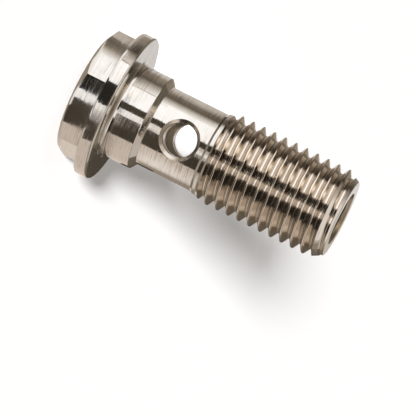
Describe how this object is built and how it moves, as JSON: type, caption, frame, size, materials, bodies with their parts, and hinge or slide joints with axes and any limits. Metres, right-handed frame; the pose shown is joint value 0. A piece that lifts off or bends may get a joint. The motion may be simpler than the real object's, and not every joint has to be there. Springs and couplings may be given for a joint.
{
  "type": "banjo bolt",
  "caption": "Banjo bolt M10 x 1.25: flanged hexagon head, washer shoulder, waisted neck with a cross hole, blind axial bore and right-hand thread, in bright turned steel.",
  "frame": {"origin": "centre of the outer face of the head, on the bolt's axis", "axes": "+Z along the bolt's axis towards its threaded end, Y along the cross hole, X square to both. A corner of the hexagon lies 15 degrees from X towards Y"},
  "size_m": [0.0164, 0.0162, 0.0301],
  "materials": {
    "steel": "bright turned steel, nickel plated, with fine turning lines"
  },
  "bodies": {
    "root": {"banjo_bolt": "steel"}
  },
  "joints": []
}
